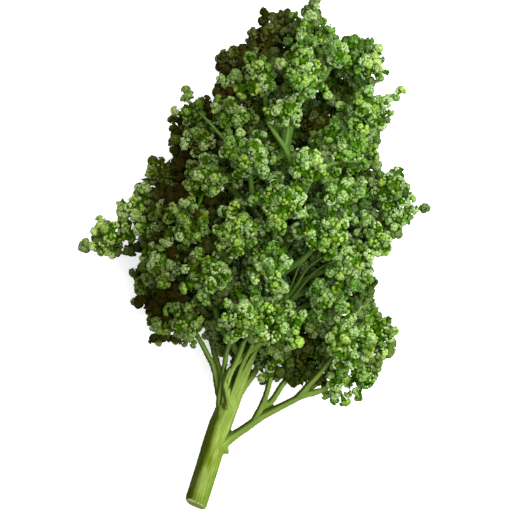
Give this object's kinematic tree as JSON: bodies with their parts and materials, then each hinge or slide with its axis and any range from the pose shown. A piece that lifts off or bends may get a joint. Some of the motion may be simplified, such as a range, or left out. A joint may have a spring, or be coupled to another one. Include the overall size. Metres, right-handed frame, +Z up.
{
  "type": "huauzontle bunch",
  "caption": "Cut huauzontle head lying on its side: a ribbed green stalk that forks into sprays densely covered with small flower buds.",
  "frame": {"origin": "centre of the bounding box on the table, under the lying head", "axes": "+Y from the cut end of the stalk to the tip of the head, +Z up from the table, +X to the right of the head as seen from above"},
  "size_m": [0.1284, 0.1989, 0.0778],
  "materials": {
    "stalk_green": "fresh green stem, satin, with lengthwise ridges",
    "bud_green": "matte, mealy flower buds"
  },
  "bodies": {
    "root": {"spray_back_high_left": "bud_green", "spray_behind_gap": "bud_green", "spray_far_left": "bud_green", "spray_front_high": "bud_green", "spray_front_high_left": "bud_green", "spray_front_low": "bud_green", "spray_front_low_mid": "bud_green", "spray_front_mid": "bud_green", "spray_front_mid_left": "bud_green", "spray_left_bottom": "bud_green", "spray_left_high": "bud_green", "spray_left_low": "bud_green", "spray_left_mid": "bud_green", "spray_left_shade_high": "bud_green", "spray_left_shade_low": "bud_green", "spray_left_shade_mid": "bud_green", "spray_low_inner": "bud_green", "spray_low_middle": "bud_green", "spray_right_bottom_inner": "bud_green", "spray_right_bottom_low": "bud_green", "spray_right_bottom_outer": "bud_green", "spray_right_far": "bud_green", "spray_right_high": "bud_green", "spray_right_low": "bud_green", "spray_right_mid": "bud_green", "spray_top": "bud_green", "spray_top_back": "bud_green", "spray_top_right": "bud_green", "spray_under_left": "bud_green", "spray_under_left_high": "bud_green", "spray_under_low": "bud_green", "spray_under_middle": "bud_green", "spray_under_middle_high": "bud_green", "spray_under_right": "bud_green", "spray_under_right_high": "bud_green", "spray_under_top": "bud_green", "stalk": "stalk_green"}
  },
  "joints": []
}
